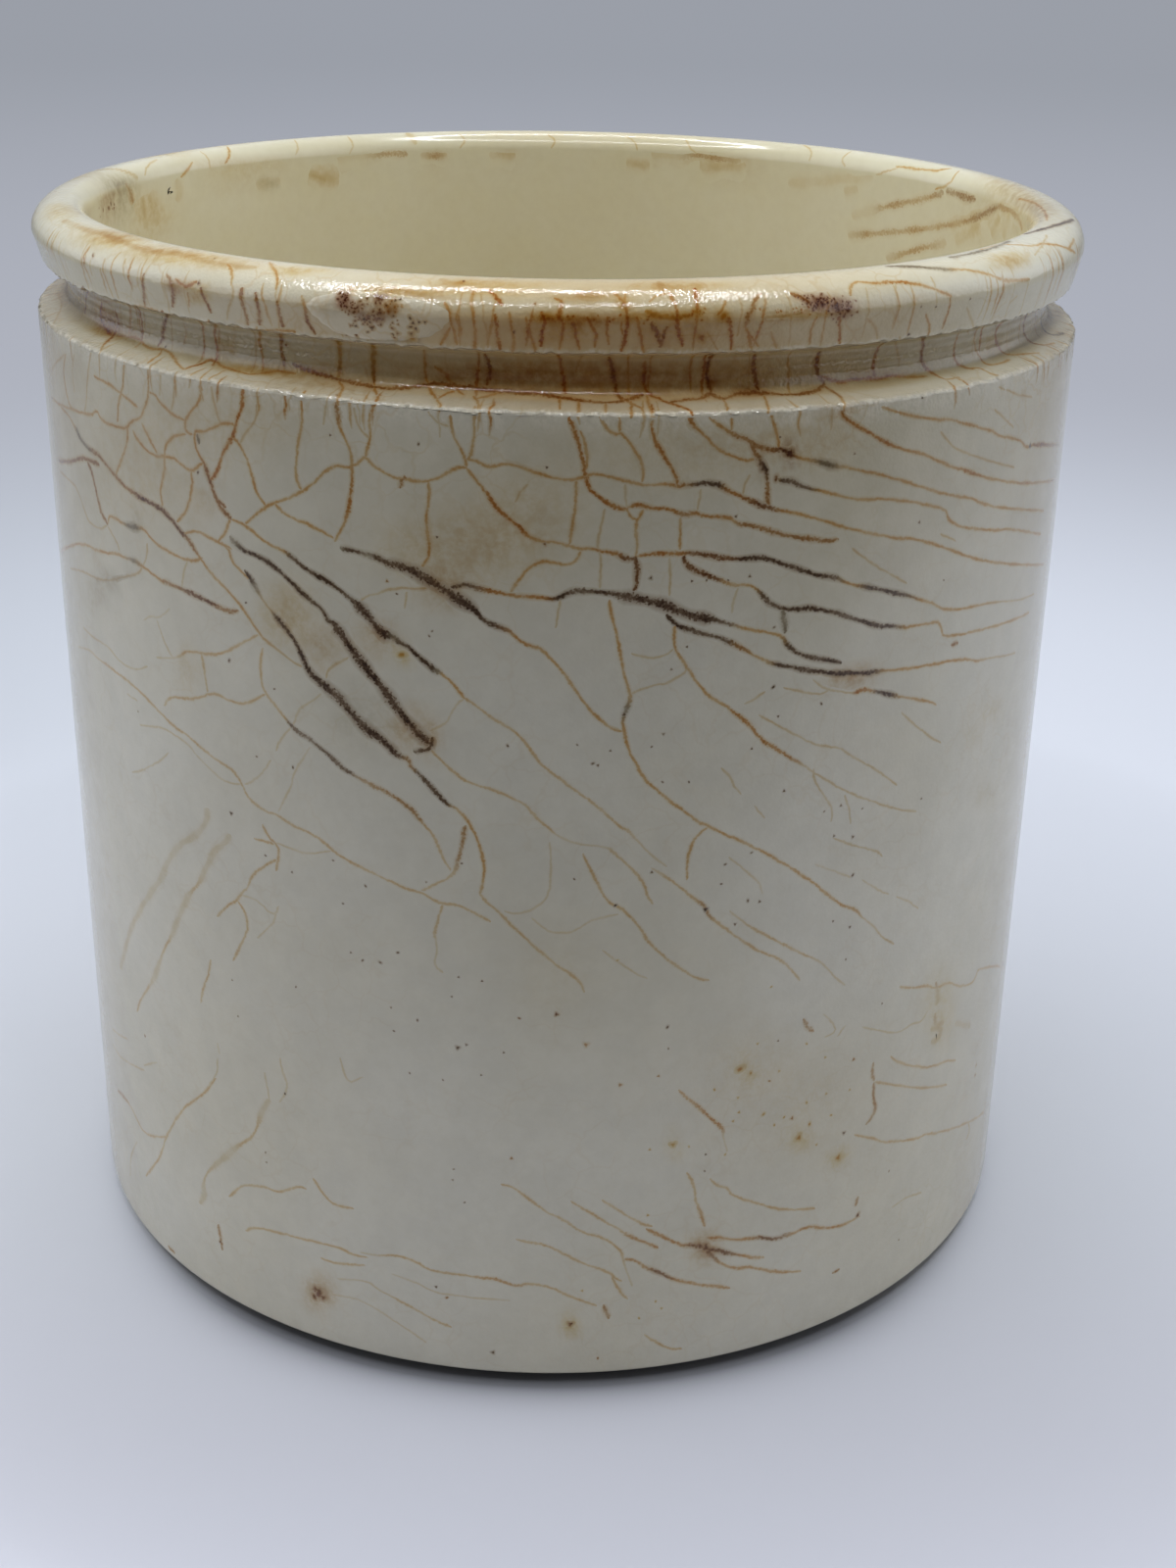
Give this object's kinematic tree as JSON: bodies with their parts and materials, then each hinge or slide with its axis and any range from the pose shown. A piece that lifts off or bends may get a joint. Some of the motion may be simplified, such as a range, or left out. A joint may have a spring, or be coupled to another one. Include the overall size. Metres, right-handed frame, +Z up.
{
  "type": "marmalade jar",
  "caption": "Straight-sided glazed earthenware marmalade jar with a thick collar rim, a tie-down neck and an open mouth.",
  "frame": {"origin": "centre of the foot, on the surface that the jar stands on", "axes": "+Z up along the jar's axis, +Y away from the viewer of the picture"},
  "size_m": [0.097, 0.097, 0.1],
  "materials": {
    "cream_glaze": "glossy cream glaze, crazed and stained with age"
  },
  "bodies": {
    "root": {"jar_body": "cream_glaze"}
  },
  "joints": []
}
